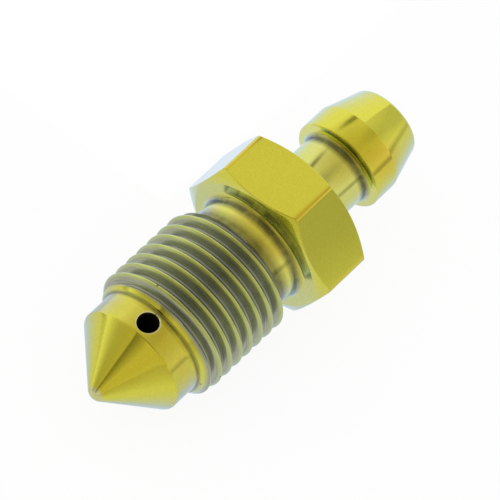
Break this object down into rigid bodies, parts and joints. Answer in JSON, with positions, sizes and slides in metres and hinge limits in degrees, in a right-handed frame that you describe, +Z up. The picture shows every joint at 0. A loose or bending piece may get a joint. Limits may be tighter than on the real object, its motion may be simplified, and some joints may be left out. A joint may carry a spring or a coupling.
{
  "type": "bleeder screw",
  "caption": "Hydraulic brake bleeder screw with a seat cone, a cross-drilled nose, a fine outside thread, a chamfered hexagon and a hose barb with an axial bore.",
  "frame": {"origin": "on the table, below the middle of the overall length", "axes": "+X along the screw from the seat cone to the hose barb, rising 2.7 degrees; +Z up, square to the table; the screw lies on one side of its hexagon and on the underside of its thread"},
  "size_m": [0.0292, 0.0124, 0.0109],
  "materials": {
    "gold_titanium": "bright turned titanium with a thin gold oxide colour"
  },
  "bodies": {
    "root": {"bleeder_screw": "gold_titanium"}
  },
  "joints": []
}
